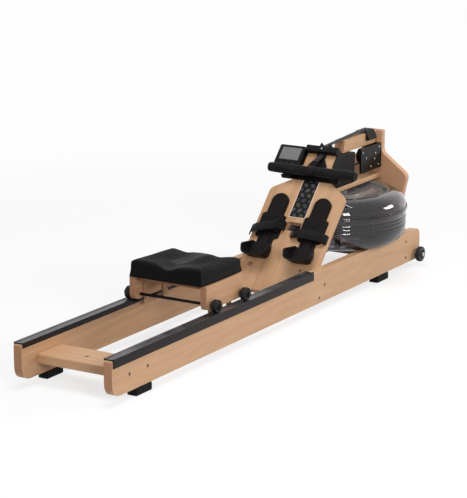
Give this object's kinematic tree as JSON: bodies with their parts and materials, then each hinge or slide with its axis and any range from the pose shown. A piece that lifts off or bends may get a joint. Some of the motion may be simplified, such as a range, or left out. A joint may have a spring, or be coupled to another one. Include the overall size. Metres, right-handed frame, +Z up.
{
  "type": "water rowing machine",
  "caption": "Wooden rowing machine: two rails, rolling seat, sloping footboard with heel cups, pull handle on a strap, and a clear water tank with a paddle.",
  "frame": {"origin": "centre of the machine's box on the floor, under the middle of the rails", "axes": "+Z up, +Y along the rails towards the water tank, +X to the rower's right"},
  "size_m": [0.5106, 2.012, 0.5122],
  "materials": {
    "wood": "satin oiled hardwood",
    "panel_wood": "satin oiled hardwood, in darker boards",
    "track": "satin anodised extrusion",
    "rubber": "matte rubber",
    "black_plastic": "fine moulded grain",
    "steel": "bright turned steel",
    "black_steel": "black powder coat",
    "tank_shell": "clear smoky polycarbonate",
    "water": "still water, slightly dark",
    "foam": "matte closed-cell foam",
    "webbing": "woven strap",
    "seat_foam": "moulded soft foam with a fine grain",
    "screen": "grey display under a clear lens",
    "inlay": null
  },
  "bodies": {
    "frame": {"rail_left": "wood", "rail_right": "wood", "track_left": "track", "track_right": "track", "foot_rear_left": "rubber", "foot_rear_right": "rubber", "foot_front_left": "rubber", "foot_front_right": "rubber", "rear_cross_board": "wood", "front_cross_board": "wood", "footboard_cleat": "wood", "footboard": "wood", "footboard_inlay": "inlay", "front_panel": "panel_wood", "top_beam": "wood", "lower_deck": "wood", "tank_lower_shell": "tank_shell", "tank_upper_shell": "tank_shell", "tank_seal": "rubber", "tank_water": "water", "fill_plug": "rubber", "drum_housing": "black_plastic", "pulley_bracket": "black_steel", "roller_saddle": "black_plastic", "handle_rest": "black_plastic", "strap_run": "webbing", "foot_plate_left": "black_plastic", "foot_plate_right": "black_plastic", "foot_strap_left": "webbing", "foot_strap_right": "webbing", "transport_bolt_left": "steel", "transport_bolt_right": "steel", "monitor_arm": "black_steel"},
    "seat": {"seat_pad": "seat_foam", "seat_board": "black_plastic", "seat_cheek_left": "wood", "seat_cheek_right": "wood", "seat_axle_rear": "black_steel", "seat_axle_front": "black_steel"},
    "seat_wheel_rl": {"seat_wheel_rear_left": "rubber"},
    "seat_wheel_rr": {"seat_wheel_rear_right": "rubber"},
    "seat_wheel_fl": {"seat_wheel_front_left": "rubber"},
    "seat_wheel_fr": {"seat_wheel_front_right": "rubber"},
    "handle": {"handle_grip": "foam", "handle_fitting": "black_steel", "strap_lead": "webbing"},
    "drum_body": {"drum": "black_plastic"},
    "top_roller_body": {"top_roller": "steel"},
    "lower_pulley_body": {"lower_pulley": "black_plastic"},
    "neck_roller_body": {"neck_roller": "steel"},
    "paddle_body": {"paddle": "steel"},
    "heel_left": {"heel_cup_left": "black_plastic"},
    "heel_right": {"heel_cup_right": "black_plastic"},
    "monitor": {"monitor_housing": "black_plastic", "monitor_lens": "screen"},
    "button_1": {"monitor_button_1": "rubber"},
    "button_2": {"monitor_button_2": "rubber"},
    "button_3": {"monitor_button_3": "rubber"},
    "caster_left": {"transport_wheel_left": "rubber"},
    "caster_right": {"transport_wheel_right": "rubber"}
  },
  "joints": [
    {"name": "seat_slide", "type": "slide", "parent": "frame", "child": "seat", "axis": [0, 1, 0], "range_m": [-0.53, 0.37]},
    {"name": "seat_wheel_rl_spin", "type": "hinge", "parent": "seat", "child": "seat_wheel_rl", "pos_m": [-0.1645, -0.404, 0.1642], "axis": [1, 0, 0], "range_deg": [-1200, 1600]},
    {"name": "seat_wheel_rr_spin", "type": "hinge", "parent": "seat", "child": "seat_wheel_rr", "pos_m": [0.1645, -0.404, 0.1642], "axis": [1, 0, 0], "range_deg": [-1200, 1600]},
    {"name": "seat_wheel_fl_spin", "type": "hinge", "parent": "seat", "child": "seat_wheel_fl", "pos_m": [-0.1645, -0.228, 0.1642], "axis": [1, 0, 0], "range_deg": [-1200, 1600]},
    {"name": "seat_wheel_fr_spin", "type": "hinge", "parent": "seat", "child": "seat_wheel_fr", "pos_m": [0.1645, -0.228, 0.1642], "axis": [1, 0, 0], "range_deg": [-1200, 1600]},
    {"name": "handle_slide", "type": "slide", "parent": "frame", "child": "handle", "axis": [0, -0.9902, 0.14], "range_m": [0, 1], "stiffness_N_per_m": 18, "springref_m": -0.5, "deforming": ["strap_lead"]},
    {"name": "drum_spin", "type": "hinge", "parent": "frame", "child": "drum_body", "pos_m": [0, 0.695, 0.388], "axis": [0, 0, 1], "range_deg": [0, 2400]},
    {"name": "top_roller_spin", "type": "hinge", "parent": "frame", "child": "top_roller_body", "pos_m": [0, 0.897, 0.5], "axis": [1, 0, 0], "range_deg": [0, 6000]},
    {"name": "lower_pulley_spin", "type": "hinge", "parent": "frame", "child": "lower_pulley_body", "pos_m": [0, 0.885, 0.4123], "axis": [1, 0, 0], "range_deg": [0, 2700]},
    {"name": "neck_roller_spin", "type": "hinge", "parent": "frame", "child": "neck_roller_body", "pos_m": [0, 0.61048, 0.4849], "axis": [1, 0, 0], "range_deg": [0, 6600]},
    {"name": "paddle_spin", "type": "hinge", "parent": "frame", "child": "paddle_body", "pos_m": [0, 0.695, 0.2], "axis": [0, 0, 1], "continuous": true},
    {"name": "heel_left_slide", "type": "slide", "parent": "frame", "child": "heel_left", "axis": [0, 0.6845, 0.729], "range_m": [-0.03, 0.02]},
    {"name": "heel_right_slide", "type": "slide", "parent": "frame", "child": "heel_right", "axis": [0, 0.6845, 0.729], "range_m": [-0.03, 0.02]},
    {"name": "monitor_tilt", "type": "hinge", "parent": "frame", "child": "monitor", "pos_m": [-0.116, 0.56804, 0.4397], "axis": [1, 0, 0], "range_deg": [0, 25]},
    {"name": "button_1_press", "type": "slide", "parent": "monitor", "child": "button_1", "axis": [0, 0.729, -0.6845], "range_m": [0, 0.0012], "stiffness_N_per_m": 400, "springref_m": -0.001},
    {"name": "button_2_press", "type": "slide", "parent": "monitor", "child": "button_2", "axis": [0, 0.729, -0.6845], "range_m": [0, 0.0012], "stiffness_N_per_m": 400, "springref_m": -0.001},
    {"name": "button_3_press", "type": "slide", "parent": "monitor", "child": "button_3", "axis": [0, 0.729, -0.6845], "range_m": [0, 0.0012], "stiffness_N_per_m": 400, "springref_m": -0.001},
    {"name": "caster_left_spin", "type": "hinge", "parent": "frame", "child": "caster_left", "pos_m": [-0.194, 0.977, 0.045], "axis": [1, 0, 0], "continuous": true},
    {"name": "caster_right_spin", "type": "hinge", "parent": "frame", "child": "caster_right", "pos_m": [0.194, 0.977, 0.045], "axis": [1, 0, 0], "continuous": true}
  ],
  "couplings": [
    {"joint": "seat_wheel_rl_spin", "follows": "seat_slide", "rad_per_m": -47.619},
    {"joint": "seat_wheel_rr_spin", "follows": "seat_slide", "rad_per_m": -47.619},
    {"joint": "seat_wheel_fl_spin", "follows": "seat_slide", "rad_per_m": -47.619},
    {"joint": "seat_wheel_fr_spin", "follows": "seat_slide", "rad_per_m": -47.619},
    {"joint": "drum_spin", "follows": "handle_slide", "rad_per_m": 38.91},
    {"joint": "top_roller_spin", "follows": "handle_slide", "rad_per_m": 88.5},
    {"joint": "lower_pulley_spin", "follows": "handle_slide", "rad_per_m": 42.92},
    {"joint": "neck_roller_spin", "follows": "handle_slide", "rad_per_m": 97.09}
  ]
}
